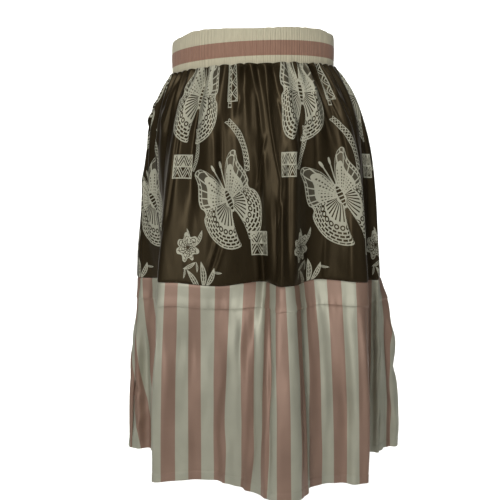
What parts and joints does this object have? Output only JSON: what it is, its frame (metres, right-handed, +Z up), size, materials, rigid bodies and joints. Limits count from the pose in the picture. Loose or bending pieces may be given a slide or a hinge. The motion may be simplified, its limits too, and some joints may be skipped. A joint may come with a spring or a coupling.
{
  "type": "full skirt",
  "caption": "Full skirt in worn form: elastic waistband, gathered printed satin upper tier, and striped lower tier with a tuck and an open hem.",
  "frame": {"origin": "middle of the waistband's hollow, at half its height, where the wearer's waist holds the skirt", "axes": "+Z up through the waist opening, -Y towards the wearer's front, +X towards the wearer's left"},
  "size_m": [0.4592, 0.3899, 0.6726],
  "materials": {
    "band_cloth": "ribbed woven elastic, cream with one dusty pink stripe",
    "dark_satin": "glossy dark brown satin with a pale grey line print",
    "striped_satin": "glossy satin in equal grey-green and dusty pink stripes"
  },
  "bodies": {
    "root": {"waistband": "band_cloth", "upper_front": "dark_satin", "upper_back": "dark_satin", "lower_front": "striped_satin", "lower_back": "striped_satin"}
  },
  "joints": []
}
